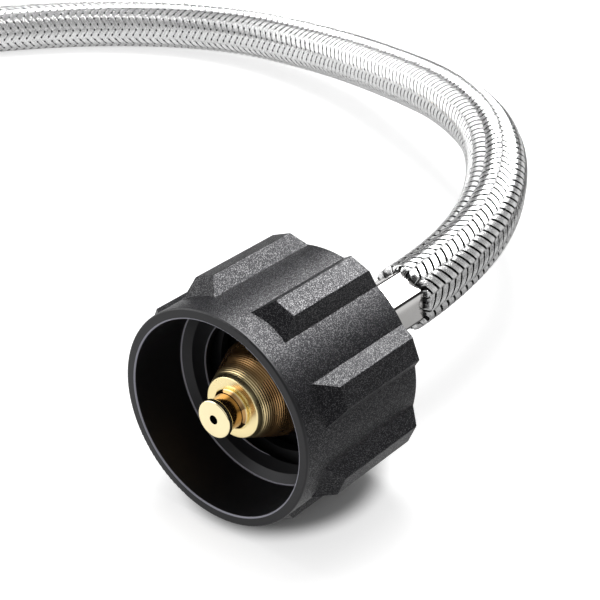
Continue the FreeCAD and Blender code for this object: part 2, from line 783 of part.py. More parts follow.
free_length = hose_wire(hose_points(), report=True).Length
print("free hose %.1f, overall %.1f" % (free_length, size("ferrule_back") + free_length
                                       + size("tube_end")))
for item in doc.Objects:
    if "Invalid" in item.State or "Error" in item.State:
        raise RuntimeError("%s is %s" % (item.Name, item.State))
os.makedirs("parts", exist_ok=True)
for piece in parts:
    shape = piece.Shape
    if shape.isNull() or not shape.isValid() or len(shape.Solids) != 1 or shape.Volume <= 0:
        raise RuntimeError("%s is not one sound solid" % piece.Label)
    shape.exportStep("parts/%s.step" % piece.Label)
    print("%s volume %.1f" % (piece.Label, shape.Volume))
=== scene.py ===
"""Looks of a propane regulator hose, set round its packed construction.

A ribbed plastic hand nut with a turned brass nipple, crimped steel ferrules, a rubber hose
under a braid of steel wire, and a brass flare nut at the far end. Lengths are in metres,
except where a comment says millimetres.
"""

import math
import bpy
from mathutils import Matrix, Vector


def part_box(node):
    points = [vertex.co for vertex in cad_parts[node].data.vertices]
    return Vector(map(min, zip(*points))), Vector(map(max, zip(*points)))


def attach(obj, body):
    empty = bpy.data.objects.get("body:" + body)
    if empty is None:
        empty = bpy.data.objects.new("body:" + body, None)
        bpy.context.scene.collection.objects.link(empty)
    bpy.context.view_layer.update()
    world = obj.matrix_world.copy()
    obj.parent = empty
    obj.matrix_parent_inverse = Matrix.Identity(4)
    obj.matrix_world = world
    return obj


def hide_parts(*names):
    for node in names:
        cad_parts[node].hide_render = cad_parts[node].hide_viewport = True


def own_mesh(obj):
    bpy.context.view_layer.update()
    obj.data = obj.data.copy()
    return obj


bl_info = {
    "name": "Propane Regulator Hose",
    "version": (1, 0, 0),
    "blender": (4, 5, 0),
    "location": "3D View > Sidebar > Gas Hose",
    "description": "Dresses a propane regulator hose in braid, brass, steel and moulded plastic",
    "category": "Object",
}

import bmesh
import bpy
import numpy as np
from bpy.props import FloatProperty, FloatVectorProperty, IntProperty, PointerProperty
from mathutils import Matrix, Vector

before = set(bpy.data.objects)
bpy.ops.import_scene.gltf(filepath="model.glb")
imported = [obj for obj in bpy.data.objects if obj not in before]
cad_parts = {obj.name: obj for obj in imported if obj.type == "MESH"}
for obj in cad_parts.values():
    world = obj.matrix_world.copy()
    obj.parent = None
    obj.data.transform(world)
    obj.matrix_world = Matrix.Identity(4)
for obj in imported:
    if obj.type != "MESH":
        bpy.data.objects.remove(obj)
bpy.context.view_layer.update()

MM = 0.001

# Places read from the construction
FERRULE_LOW, FERRULE_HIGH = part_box("near_ferrule")
AXIS_HEIGHT = (FERRULE_LOW.z + FERRULE_HIGH.z) / 2
MOUTH = (0.0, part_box("handwheel")[0].y, AXIS_HEIGHT)

# The hose's route: it leaves the first ferrule level, bends round and lies down on the floor
HOSE_ROUTE = [
    (0.0, 0.02825, 0.0228748),
    (0.0, 0.04475, 0.0228748),
    (-0.0053, 0.07055, 0.0254),
    (-0.0215, 0.09625, 0.0279),
    (-0.0465, 0.11575, 0.0259),
    (-0.0780, 0.13505, 0.0191),
    (-0.1145, 0.15225, 0.0121),
    (-0.1555, 0.15555, 0.0089),
    (-0.1930, 0.13825, 0.0070),
    (-0.2215, 0.10425, 0.0070),
    (-0.2350, 0.07555, 0.0070),
    (-0.2410, 0.05855, 0.0070),
]


class HoseLook(bpy.types.PropertyGroup):
    """Sizes and colours of the hose and its braid"""

    diameter: FloatProperty(
        name="Hose diameter", description="Over the braid",
        default=0.014, min=0.006, max=0.03, unit="LENGTH")
    carriers: IntProperty(
        name="Strands each way", description="Strands of the braid that wind one way",
        default=12, min=6, max=24)
    wires: IntProperty(
        name="Wires in a strand", description="Wires that lie side by side in each strand",
        default=7, min=3, max=10)
    lead: FloatProperty(
        name="Lead", description="Length of hose in which a strand winds once round",
        default=0.0282, min=0.01, max=0.08, unit="LENGTH")
    strand_width: FloatProperty(
        name="Strand width", description="Width over the wires of a strand",
        default=0.00138, min=0.0005, max=0.004, unit="LENGTH")
    weave_height: FloatProperty(
        name="Weave height", description="How far a strand rises and dips as it crosses others",
        default=0.0002, min=0.0, max=0.001, unit="LENGTH")
    steel_color: FloatVectorProperty(
        name="Braid colour", description="Colour of the braid's wire", subtype="COLOR",
        default=(0.72, 0.72, 0.72), min=0.0, max=1.0)
    rubber_color: FloatVectorProperty(
        name="Rubber colour", description="Colour of the hose's rubber", subtype="COLOR",
        default=(0.012, 0.012, 0.013), min=0.0, max=1.0)


class NutLook(bpy.types.PropertyGroup):
    """Finish of the moulded hand nut"""

    color: FloatVectorProperty(
        name="Plastic colour", description="Colour of the moulded plastic", subtype="COLOR",
        default=(0.009, 0.009, 0.0105), min=0.0, max=1.0)
    grain: FloatProperty(
        name="Grain size", description="Size of the moulded grain's bumps",
        default=0.00019, min=0.0001, max=0.002, unit="LENGTH")


class MetalLook(bpy.types.PropertyGroup):
    """Finish of the turned brass and the steel"""

    brass_color: FloatVectorProperty(
        name="Brass colour", description="Colour of the turned brass", subtype="COLOR",
        default=(0.92, 0.78, 0.43), min=0.0, max=1.0)
    tip_color: FloatVectorProperty(
        name="Tip colour", description="Colour of the stepped tip", subtype="COLOR",
        default=(0.94, 0.82, 0.51), min=0.0, max=1.0)
    stem_color: FloatVectorProperty(
        name="Far brass colour", description="Colour of the far end's stem and flare nut",
        subtype="COLOR", default=(0.74, 0.53, 0.23), min=0.0, max=1.0)
    ferrule_color: FloatVectorProperty(
        name="Ferrule colour", description="Colour of the crimped ferrules", subtype="COLOR",
        default=(0.56, 0.55, 0.54), min=0.0, max=1.0)
    turning_pitch: FloatProperty(
        name="Turning pitch", description="Distance between the cutter's grooves on the cone",
        default=0.00043, min=0.0001, max=0.002, unit="LENGTH")


class StageLook(bpy.types.PropertyGroup):
    """Camera, light and floor"""

    lens: FloatProperty(
        name="Lens", description="Focal length of the camera in millimetres",
        default=97.47, min=20.0, max=300.0)
    key: FloatProperty(
        name="Overhead light", description="Brightness of the large lamp above",
        default=5.5, min=0.0, max=50.0)
    sheen: FloatProperty(
        name="Back sheen", description="Brightness of the pale sheet behind, which shows in gloss",
        default=16.5, min=0.0, max=50.0)
    floor_tone: FloatProperty(
        name="Floor tone", description="How pale the floor is",
        default=0.8, min=0.0, max=1.0)


LOOKS = {
    "gas_hose_braid": HoseLook,
    "gas_hose_nut": NutLook,
    "gas_hose_metal": MetalLook,
    "gas_hose_stage": StageLook,
}


def node(tree, kind, **settings):
    """A new node with its settings."""
    made = tree.nodes.new(kind)
    for key, value in settings.items():
        setattr(made, key, value)
    return made


def feed(tree, target, *sources):
    """Give a node's sockets their sources, outputs or plain values; None leaves one as it is."""
    for socket, source in zip(target.inputs, sources):
        if isinstance(source, bpy.types.NodeSocket):
            tree.links.new(source, socket)
        elif source is not None:
            socket.default_value = source


def math_node(tree, operation, *sources):
    """A Math node's result."""
    made = node(tree, "ShaderNodeMath", operation=operation)
    feed(tree, made, *sources)
    return made.outputs[0]


def times(tree, first, second):
    """Two numbers' product."""
    return math_node(tree, "MULTIPLY", first, second)


def vector_math(tree, operation, *sources):
    """A Vector Math node's result: a vector from MULTIPLY_ADD, and otherwise a number."""
    made = node(tree, "ShaderNodeVectorMath", operation=operation)
    feed(tree, made, *sources)
    return made.outputs["Vector" if operation == "MULTIPLY_ADD" else "Value"]


def split_vector(tree, vector):
    """The parts of a vector or a colour, named X, Y and Z."""
    made = node(tree, "ShaderNodeSeparateXYZ")
    feed(tree, made, vector)
    return made.outputs


def ramp(tree, source, low, high, to_low=0.0, to_high=1.0):
    """The source, moved from one range to another and held inside it."""
    made = node(tree, "ShaderNodeMapRange", interpolation_type="SMOOTHSTEP")
    feed(tree, made, source, low, high, to_low, to_high)
    return made.outputs[0]


def noise(tree, place, scale, detail=2.0, roughness=0.5):
    """Noise over the surface, from 0 to 1."""
    made = node(tree, "ShaderNodeTexNoise")
    feed(tree, made, place, None, scale, detail, roughness)
    return made.outputs[0]


def mix_number(tree, share, first, second):
    """Two numbers mixed by a share."""
    made = node(tree, "ShaderNodeMix", data_type="FLOAT")
    feed(tree, made, share, None, first, second)
    return made.outputs[0]


def mix_color(tree, share, first, second):
    """Two colours mixed by a share."""
    made = node(tree, "ShaderNodeMix", data_type="RGBA")
    # The sockets for colours come after those for numbers and vectors
    feed(tree, made, share, *[None] * 5, first, second)
    return made.outputs[2]


def shade(color, factor=1.0):
    """A colour made darker or lighter, with full alpha."""
    return (*[channel * factor for channel in color], 1.0)


def effect(name, setting, value, *results):
    """An empty shader group, the sockets of what it is given and those of what it puts out."""
    tree = bpy.data.node_groups.new(name, "ShaderNodeTree")
    tree.interface.new_socket("Vector", in_out="INPUT", socket_type="NodeSocketVector")
    socket = tree.interface.new_socket(setting, in_out="INPUT", socket_type="NodeSocketFloat")
    socket.default_value = value
    for result in results:
        tree.interface.new_socket(result, in_out="OUTPUT", socket_type="NodeSocketFloat")
    given = node(tree, "NodeGroupInput").outputs
    return tree, given, node(tree, "NodeGroupOutput").inputs


# Where on a pebble's dome its sparkle starts and is full, and the flattest pebble's height
SPARKLE_RISE, FLATTEST = (0.6, 0.95), 0.5


def moulded_grain():
    """Group: the fine pebbled grain of a moulded face, as a height and a sparkle of single pebbles."""
    tree, given, made = effect("Moulded grain", "Scale", 2000.0, "Height", "Sparkle")
    cells = node(tree, "ShaderNodeTexVoronoi", feature="F1")
    feed(tree, cells, given["Vector"], None, given["Scale"])
    dome = math_node(tree, "SUBTRACT", 1.0, math_node(tree, "POWER", cells.outputs["Distance"], 2.0))
    chance = split_vector(tree, cells.outputs["Color"])
    size = ramp(tree, chance["X"], 0.0, 1.0, FLATTEST, 1.0)
    tree.links.new(times(tree, dome, size), made["Height"])
    sparkle = times(tree, ramp(tree, dome, *SPARKLE_RISE), ramp(tree, chance["Y"], 0.0, 1.0))
    tree.links.new(sparkle, made["Sparkle"])
    return tree


# The noise that varies the depth of the cutter's marks, and how deep the shallowest are
MARK_NOISE, LEAST_MARK = 900.0, 0.35


def turned_marks():
    """Group: the fine rings that a cutting tool leaves round a turned piece."""
    tree, given, made = effect("Turned marks", "Pitch", 0.0005, "Height")
    along = split_vector(tree, given["Vector"])["Y"]
    turns = math_node(tree, "DIVIDE", along, given["Pitch"])
    wave = math_node(tree, "SINE", times(tree, turns, 2 * math.pi))
    uneven = noise(tree, given["Vector"], MARK_NOISE)
    height = times(tree, wave, math_node(tree, "ADD", uneven, LEAST_MARK))
    tree.links.new(height, made["Height"])
    return tree


def handling():
    """Group: soft smudges and unevenness of a handled surface, from 0 to 1."""
    tree, given, made = effect("Handling", "Scale", 120.0, "Smudge")
    wide = noise(tree, given["Vector"], given["Scale"], 5.0, 0.55)
    tree.links.new(ramp(tree, wide, 0.3, 0.7), made["Smudge"])
    return tree


GROUPS = {}


def place_effect(tree, maker, place, **values):
    """Place one of the shared effects in a material."""
    if maker not in GROUPS:
        GROUPS[maker] = maker()
    made = node(tree, "ShaderNodeGroup", node_tree=GROUPS[maker])
    tree.links.new(place, made.inputs["Vector"])
    for label, value in values.items():
        made.inputs[label].default_value = value
    return made.outputs


def new_material(name, color, roughness, metallic=0.0):
    """A material with its main shader, and the object's own coordinates."""
    made = bpy.data.materials.new(name)
    made.use_nodes = True
    made.diffuse_color = shade(color)
    tree = made.node_tree
    shader = tree.nodes["Principled BSDF"]
    shader.inputs["Base Color"].default_value = shade(color)
    shader.inputs["Roughness"].default_value = roughness
    shader.inputs["Metallic"].default_value = metallic
    place = node(tree, "ShaderNodeTexCoord").outputs["Object"]
    return made, tree, shader, place


def bump(tree, shader, height, distance, strength=1.0):
    """Feed a height to the shader's normal."""
    made = node(tree, "ShaderNodeBump")
    made.inputs["Strength"].default_value = strength
    made.inputs["Distance"].default_value = distance
    tree.links.new(height, made.inputs["Height"])
    tree.links.new(made.outputs["Normal"], shader.inputs["Normal"])


def tint(tree, shader, share, color):
    """Mix a colour over the one that already feeds the shader."""
    under = shader.inputs["Base Color"].links[0].from_socket
    tree.links.new(mix_color(tree, share, under, color), shader.inputs["Base Color"])


def from_axis(tree, place):
    """How far a point of the first end lies from its axis."""
    across = vector_math(tree, "MULTIPLY_ADD", place, (1.0, 0.0, 1.0), (0.0, 0.0, -AXIS_HEIGHT))
    return vector_math(tree, "LENGTH", across)


def behind_mouth(tree, place):
    """How far a point of the first end lies behind the nut's mouth."""
    return math_node(tree, "SUBTRACT", split_vector(tree, place)["Y"], MOUTH[1])


# Where the nut's grain comes in, behind the mouth and out from the axis, and its height for its size
GRAIN_BEHIND, GRAIN_OUTSIDE, GRAIN_HEIGHT = (0.0002, 0.0009), (0.0196, 0.0206), 0.2
# The plastic between its pebbles, on their tops as painted glints, and on its pale edges as painted
# highlight and partly wear, as shares of its colour
BASE_TONE, GLINT_TONE, WEAR_AND_HIGHLIGHT_TONE = 0.6, 1.8, 40.0
# Edges painted pale, partly rubbed wear and partly painted highlight on their rounding, by radius and
# station behind the mouth, and the soft edge of that pale band
WORN_AND_HIGHLIT_EDGES = ((0.01935, 0.0001), (0.01915, 0.0124), (0.01745, 0.01245), (0.01415, 0.0137))
WEAR_AND_HIGHLIGHT_REACH = (0.0001, 0.00024)
PLASTIC_ROUGHNESS, PLASTIC_SMUDGES = (0.36, 0.42), 90.0
BASE_GLOSS, SMOOTH_GLOSS, GLOSS_TINT = 0.13, 0.35, (0.93, 0.92, 1.0, 1.0)
COAT_ROUGHNESS, COAT_INDEX = 0.39, 1.6


def plastic_material(look):
    """Black moulded plastic: pebbled outside, smooth on its rim and in its bore."""
    made, tree, shader, place = new_material("Moulded plastic", look.color, PLASTIC_ROUGHNESS[0])
    grain = place_effect(tree, moulded_grain, place, Scale=1.0 / look.grain)
    smudge = place_effect(tree, handling, place, Scale=PLASTIC_SMUDGES)["Smudge"]
    radius, behind = from_axis(tree, place), behind_mouth(tree, place)
    pebbled = times(tree, ramp(tree, radius, *GRAIN_OUTSIDE), ramp(tree, behind, *GRAIN_BEHIND))
    sparkle = times(tree, grain["Sparkle"], pebbled)
    # Painted highlight: sparkling pebble tops are painted lighter, as glints
    color = mix_color(tree, sparkle, shade(look.color, BASE_TONE), shade(look.color, GLINT_TONE))
    tree.links.new(color, shader.inputs["Base Color"])
    profile = node(tree, "ShaderNodeCombineXYZ")
    feed(tree, profile, radius, behind)
    # Painted highlight, partly wear: pale lines along the rim and the ledge edges
    for edge in WORN_AND_HIGHLIT_EDGES:
        away = vector_math(tree, "DISTANCE", profile.outputs[0], (*edge, 0.0))
        tint(tree, shader, ramp(tree, away, *WEAR_AND_HIGHLIGHT_REACH, 1.0, 0.0), shade(look.color, WEAR_AND_HIGHLIGHT_TONE))
    smooth = times(tree, math_node(tree, "SUBTRACT", 1.0, pebbled), SMOOTH_GLOSS)
    gloss = math_node(tree, "MAXIMUM", ramp(tree, sparkle, 0.0, 1.0), smooth)
    tree.links.new(gloss, shader.inputs["Coat Weight"])
    shader.inputs["Coat Roughness"].default_value = COAT_ROUGHNESS
    shader.inputs["Coat IOR"].default_value = COAT_INDEX
    shader.inputs["Specular IOR Level"].default_value = BASE_GLOSS
    shader.inputs["Specular Tint"].default_value = GLOSS_TINT
    rough = ramp(tree, smudge, 0.0, 1.0, *PLASTIC_ROUGHNESS)
    tree.links.new(rough, shader.inputs["Roughness"])
    pebbles = times(tree, grain["Height"], pebbled)
    bump(tree, shader, pebbles, look.grain * GRAIN_HEIGHT)
    return made


METAL_SMUDGES, METAL_TONES, METAL_SPREAD = 160.0, (0.95, 1.03), 0.05


def metal_material(name, color, roughness, tones=METAL_TONES, spread=METAL_SPREAD):
    """Bare metal, slightly uneven in tone and gloss."""
    made, tree, shader, place = new_material(name, color, roughness, 1.0)
    smudge = place_effect(tree, handling, place, Scale=METAL_SMUDGES)["Smudge"]
    tone = mix_color(tree, smudge, shade(color, tones[0]), shade(color, tones[1]))
    tree.links.new(tone, shader.inputs["Base Color"])
    rough = ramp(tree, smudge, 0.0, 1.0, roughness, roughness + spread)
    tree.links.new(rough, shader.inputs["Roughness"])
    return made, tree, shader, place


BRASS_TONES, BRASS_SPREAD, MARK_DEPTH = (0.96, 1.03), 0.06, 0.00001
# Painted shade on cone and neck, darker redder brass for the dark bore they reflect: colour, then where
# it comes in and fades out behind the mouth
CONE_PAINTED_SHADE = ((0.50, 0.29, 0.12), (0.0053, 0.0085), (0.018, 0.022))
NECK_PAINTED_SHADE = ((0.42, 0.24, 0.09), (0.0009, 0.00125), (0.0043, 0.0046))


def brass_material(name, color, pitch, roughness=0.22, relief=0.4, shaded_stretch=None):
    """Turned brass with fine tool marks; the first end's brass can carry painted shade, darker and
    redder, over a stretch.
    """
    made, tree, shader, place = metal_material(name, color, roughness, BRASS_TONES, BRASS_SPREAD)
    if shaded_stretch:
        shade_tone, comes_in, fades_out = shaded_stretch
        behind = behind_mouth(tree, place)
        share = times(tree, ramp(tree, behind, *comes_in), ramp(tree, behind, *fades_out, 1.0, 0.0))
        # Painted shade: darker, redder brass where the dark bore is reflected
        tint(tree, shader, share, shade(shade_tone))
    if relief:
        marks = place_effect(tree, turned_marks, place, Pitch=pitch)
        bump(tree, shader, marks["Height"], MARK_DEPTH, relief)
    return made


# The first ferrule's hexagon: half a facet and the turn of a facet's middle, how near to a
# corner the painted shade of its crease is full and ends, its tone, and how far the corners seem to drop
HALF_FACET, FACET_TURN = math.pi / 6, math.radians(25)
CREASE_REACH, CREASE_SHADE_TONE, CORNER_DROP = (0.03, 0.08), 0.06, 0.0004


def creased_material(name, color, roughness):
    """Plated steel with painted shade along a hexagon's creased corners, and slightly domed facets."""
    made, tree, shader, place = metal_material(name, color, roughness)
    parts = split_vector(tree, place)
    rise = math_node(tree, "SUBTRACT", parts["Z"], AXIS_HEIGHT)
    turn = math_node(tree, "ARCTAN2", parts["X"], rise)
    turn = math_node(tree, "SUBTRACT", turn, FACET_TURN)
    from_middle = math_node(tree, "PINGPONG", turn, HALF_FACET)
    crease_shade = ramp(tree, from_middle, HALF_FACET - CREASE_REACH[1], HALF_FACET - CREASE_REACH[0])
    share = math_node(tree, "DIVIDE", from_middle, HALF_FACET)
    bump(tree, shader, math_node(tree, "POWER", share, 2.0), -CORNER_DROP)
    # Painted shade: dark lines along the hexagon's corners
    tint(tree, shader, crease_shade, shade(color, CREASE_SHADE_TONE))
    return made


# The braid wires' tones, how low a strand lies where its painted shade starts and ends to darken, and how
# dark
WIRE_TONES, PAINTED_SHADE_REACH, PAINTED_SHADE_TONE = (0.85, 1.08), (0.35, 0.7), 0.015
WIRE_NOISE, WIRE_ROUGHNESS = 3000.0, (0.16, 0.28)


def wire_material(look):
    """Braid wire: bright on top, with painted shade where strands dive under one another."""
    made, tree, shader, place = new_material("Braid wire", look.steel_color, WIRE_ROUGHNESS[1], 1.0)
    painted_shade = node(tree, "ShaderNodeAttribute", attribute_name="painted_shade").outputs["Fac"]
    wire = node(tree, "ShaderNodeAttribute", attribute_name="tint").outputs["Fac"]
    tones = [shade(look.steel_color, tone) for tone in WIRE_TONES]
    tree.links.new(mix_color(tree, wire, *tones), shader.inputs["Base Color"])
    # Painted shade: nearly black where a strand lies low, at its dropped edges and at its root
    tint(tree, shader, ramp(tree, painted_shade, *PAINTED_SHADE_REACH), shade(look.steel_color, PAINTED_SHADE_TONE))
    rough = ramp(tree, noise(tree, place, WIRE_NOISE), 0.3, 0.7, *WIRE_ROUGHNESS)
    tree.links.new(rough, shader.inputs["Roughness"])
    return made


RUBBER_SMUDGES, RUBBER_NOISE, RUBBER_RELIEF = 250.0, 2200.0, 0.00002


def rubber_material(name, color, roughness=0.6):
    """Extruded rubber with a faint bloom."""
    made, tree, shader, place = new_material(name, color, roughness)
    smudge = place_effect(tree, handling, place, Scale=RUBBER_SMUDGES)["Smudge"]
    tone = mix_color(tree, smudge, shade(color, 0.8), shade(color, 1.5))
    tree.links.new(tone, shader.inputs["Base Color"])
    bump(tree, shader, noise(tree, place, RUBBER_NOISE), RUBBER_RELIEF, 0.5)
    return made


def dress(name, material):
    """Give a node of the construction its material."""
    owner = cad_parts[name]
    owner.data.materials.clear()
    owner.data.materials.append(material)


def add_piece(mesh, material, body, slot, *replaced):
    """A finished piece: linked, dressed, riding on its body and standing for its nodes."""
    mesh.materials.append(material)
    made = bpy.data.objects.new(mesh.name, mesh)
    bpy.context.scene.collection.objects.link(made)
    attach(made, body)
    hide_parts(*replaced)
    return made


def grid_faces(rows, columns, start=0, wrap=False):
    """Quads over a grid of points that is stored row by row, open or wrapped both ways."""
    row = np.arange(rows if wrap else rows - 1)[:, None]
    column = np.arange(columns if wrap else columns - 1)[None, :]
    below, beside = (row + 1) % rows, (column + 1) % columns
    corners = [row * columns + column, row * columns + beside,
               below * columns + beside, below * columns + column]
    return start + np.stack([np.broadcast_to(c, (row.size, column.size)) for c in corners],
                            axis=-1).reshape(-1, 4)


def build_mesh(name, points, faces, sharp=math.radians(40), closed=False):
    """A smooth mesh whose steep edges stay sharp."""
    mesh = bpy.data.meshes.new(name)
    mesh.from_pydata(points.reshape(-1, 3).tolist(), [], faces.tolist())
    mesh.validate()
    if closed:
        shell = bmesh.new()
        shell.from_mesh(mesh)
        bmesh.ops.recalc_face_normals(shell, faces=shell.faces)
        shell.to_mesh(mesh)
        shell.free()
    mesh.shade_smooth()
    if sharp:
        mesh.set_sharp_from_angle(angle=sharp)
    return mesh


def unit(vectors):
    """Vectors brought to length one."""
    return vectors / np.linalg.norm(vectors, axis=-1, keepdims=True)


class Spindle:
    """The axis that a piece is turned round: its start, its direction and its upper side."""

    def __init__(self, start, direction):
        self.start = np.array(start, dtype=float)
        self.along = unit(np.array(direction, dtype=float))
        up = np.array([0.0, 0.0, 1.0])
        self.up = unit(up - self.along * (up @ self.along))
        self.side = np.cross(self.along, self.up)

    def surface(self, station, angle, radius):
        """Points at a station along the axis, an angle from its upper side, and a radius."""
        outward = np.cos(angle)[..., None] * self.up + np.sin(angle)[..., None] * self.side
        return self.start + station[..., None] * self.along + radius[..., None] * outward


TURNED_SEGMENTS = 144
ARC_STEPS = 5


def full_turn(segments=TURNED_SEGMENTS):
    """Angles once round, as one row."""
    return np.linspace(0.0, 2 * math.pi, segments, endpoint=False)[None, :]


def rounded(corners):
    """An outline from corners of station, radius and rounding in millimetres; roundings are arcs."""
    made = []
    for number, (station, radius, rounding) in enumerate(corners):
        corner = np.array((station, radius))
        if not rounding:
            made.append(corner)
            continue
        back = np.array(corners[number - 1][:2]) - corner
        ahead = np.array(corners[(number + 1) % len(corners)][:2]) - corner
        back, ahead = unit(back), unit(ahead)
        half = math.acos(back @ ahead) / 2
        inward = unit(back + ahead)
        middle = corner + inward * rounding / math.sin(half)
        first = corner + back * rounding / math.tan(half) - middle
        last = corner + ahead * rounding / math.tan(half) - middle
        swing = math.atan2(first[0] * last[1] - first[1] * last[0], first @ last)
        for share in np.linspace(0.0, 1.0, ARC_STEPS):
            cos, sin = math.cos(swing * share), math.sin(swing * share)
            made.append(middle + np.array((cos * first[0] - sin * first[1],
                                           sin * first[0] + cos * first[1])))
    return np.array(made) * MM


def turned_mesh(name, outline):
    """A closed outline of stations and radii, turned once round the first end's axis."""
    turn = full_turn()
    station, radius = outline[:, :1] + 0 * turn, outline[:, 1:] + 0 * turn
    points = FIRST_END.surface(station, turn + 0 * station, radius)
    faces = grid_faces(len(outline), TURNED_SEGMENTS, wrap=True)
    return build_mesh(name, points, faces, closed=True)


class HosePath:
    """The hose's centreline, with a steady frame along it."""

    def __init__(self, points):
        self.points = np.array(points)
        steps = np.diff(self.points, axis=0)
        self.along = np.concatenate([[0.0], np.cumsum(np.linalg.norm(steps, axis=1))])
        self.length = self.along[-1]
        units = unit(steps)
        self.tangents = unit(np.concatenate([units[:1], units[:-1] + units[1:], units[-1:]]))
        up = np.array([0.0, 0.0, 1.0])
        ups = []
        for tangent in self.tangents:
            up = unit(up - tangent * (up @ tangent))
            ups.append(up)
        self.ups = np.array(ups)

    def surface(self, along, angle, radius):
        """Points along the hose, also a little past its ends, at an angle from its upper side."""
        inside = np.clip(along, 0.0, self.length)
        centre, tangent, up = [
            np.stack([np.interp(inside, self.along, field[:, axis]) for axis in range(3)], -1)
            for field in (self.points, self.tangents, self.ups)]
        tangent = unit(tangent)
        centre = centre + tangent * (along - inside)[..., None]
        side = unit(np.cross(tangent, up))
        up = np.cross(side, tangent)
        outward = np.cos(angle)[..., None] * up + np.sin(angle)[..., None] * side
        return centre + radius[..., None] * outward


ROUTE_STEPS = 32


def hose_path():
    """The route's smooth line, read from a curve with no thickness."""
    curve = bpy.data.curves.new("hose_route", "CURVE")
    curve.dimensions = "3D"
    spline = curve.splines.new("NURBS")
    spline.points.add(len(HOSE_ROUTE) - 1)
    for point, place in zip(spline.points, HOSE_ROUTE):
        point.co = (*place, 1.0)
    spline.order_u = 3
    spline.use_endpoint_u = True
    spline.resolution_u = ROUTE_STEPS
    holder = bpy.data.objects.new("hose_route", curve)
    mesh = bpy.data.meshes.new_from_object(holder)
    points = [tuple(vertex.co) for vertex in mesh.vertices]
    bpy.data.objects.remove(holder)
    bpy.data.meshes.remove(mesh)
    bpy.data.curves.remove(curve)
    return HosePath(points)


PATH = hose_path()

FIRST_END = Spindle(MOUTH, (0.0, 1.0, 0.0))
FAR_END = Spindle(HOSE_ROUTE[-1], np.subtract(HOSE_ROUTE[-1], HOSE_ROUTE[-2]))

# The nipple's stations behind the nut's mouth and its radii, in millimetres
NOSE, TIP_SEAT, CONE_START, CONE_BACK, CHAMBER_FLOOR = 5.0, 5.2, 5.3, 13.6, 17.5
FLANGE_BACK, FERRULE_FRONT, LIP_BACK, BARB_BACK = 22.5, 34.7, 36.0, 55.5
TIP_SEAT_RADIUS, NOSE_RADIUS, CONE_RADIUS, FLANGE_RADIUS = 4.1, 5.95, 6.1, 9.7
STEM_RADIUS, LIP_RADIUS, BARB_RADIUS, CHAMBER_RADIUS, PASSAGE_RADIUS = 5.5, 4.3, 3.45, 2.9, 1.75
# The barb's ridges: the first one's station, their distance, slope, drop and number
BARB_START, BARB_PITCH, BARB_SLOPE, BARB_DROP, BARB_COUNT = 40.0, 3.0, 2.4, 0.3, 5
# The cone's grooves: their depth, then where they start, end and fade, as shares of its length
GROOVE_DEPTH, GROOVES_START, GROOVES_END, GROOVES_FADE = 0.12, 0.05, 0.94, 0.06
GROOVE_POINTS = 150


def nipple_outline(pitch):
    """The nipple's outline, with the cutter's grooves on its cone."""
    front = rounded([
        (CHAMBER_FLOOR, PASSAGE_RADIUS, 0.0), (CHAMBER_FLOOR, CHAMBER_RADIUS, 0.0),
        (TIP_SEAT, CHAMBER_RADIUS, 0.0), (TIP_SEAT, TIP_SEAT_RADIUS, 0.0),
        (NOSE, TIP_SEAT_RADIUS, 0.06), (NOSE, NOSE_RADIUS, 0.0)])[:-1]
    edge = rounded([(NOSE, TIP_SEAT_RADIUS, 0.0), (NOSE, NOSE_RADIUS, 0.25),
                    (CONE_BACK, FLANGE_RADIUS, 0.0)])[1:-1]
    shoulder = rounded([(CONE_START, CONE_RADIUS, 0.0), (CONE_BACK, FLANGE_RADIUS, 2.0),
                        (FLANGE_BACK, FLANGE_RADIUS, 0.0)])[1:-1]
    barbs = []
    for number in range(BARB_COUNT):
        ridge = BARB_START + BARB_PITCH * number
        barbs += [(ridge, BARB_RADIUS, 0.0), (ridge + BARB_SLOPE, BARB_RADIUS - BARB_DROP, 0.0),
                  (ridge + BARB_SLOPE, BARB_RADIUS, 0.0)]
    rear = rounded([
        (FLANGE_BACK, FLANGE_RADIUS, 0.4), (FLANGE_BACK, STEM_RADIUS, 0.0),
        (FERRULE_FRONT, STEM_RADIUS, 0.0), (FERRULE_FRONT, LIP_RADIUS, 0.0),
        (LIP_BACK, LIP_RADIUS, 0.0), (LIP_BACK, BARB_RADIUS, 0.0), *barbs,
        (BARB_BACK, BARB_RADIUS, 0.0), (BARB_BACK, PASSAGE_RADIUS, 0.0)])
    return np.concatenate([front, edge, grooved_cone(pitch), shoulder, rear])


def grooved_cone(pitch):
    """The cone's outline: fine grooves whose depth varies a little along it."""
    length = math.hypot(CONE_BACK - CONE_START, FLANGE_RADIUS - CONE_RADIUS)
    share = np.linspace(GROOVES_START, GROOVES_END, GROOVE_POINTS)
    fade = np.clip(np.minimum(share - GROOVES_START, GROOVES_END - share) / GROOVES_FADE, 0.0, 1.0)
    depth = GROOVE_DEPTH * fade * (0.75 + 0.25 * np.sin(share * 17.0))
    wave = 0.5 - 0.5 * np.cos(2 * math.pi * share * length / (pitch / MM))
    radius = CONE_RADIUS + (FLANGE_RADIUS - CONE_RADIUS) * share - depth * wave
    return np.stack([CONE_START + (CONE_BACK - CONE_START) * share, radius], -1) * MM


# The tip's stations behind the nut's mouth and its radii, in millimetres
TIP_BACK, NECK_BACK, TIP_FLANGE_FRONT, SHANK_BACK = 1.2, 3.9, 4.5, 9.0
TIP_HOLE_RADIUS, TIP_FACE_RADIUS, TIP_RADIUS = 0.9, 1.0, 3.68
NECK_RADIUS, TIP_FLANGE_RADIUS = 3.3, 3.9


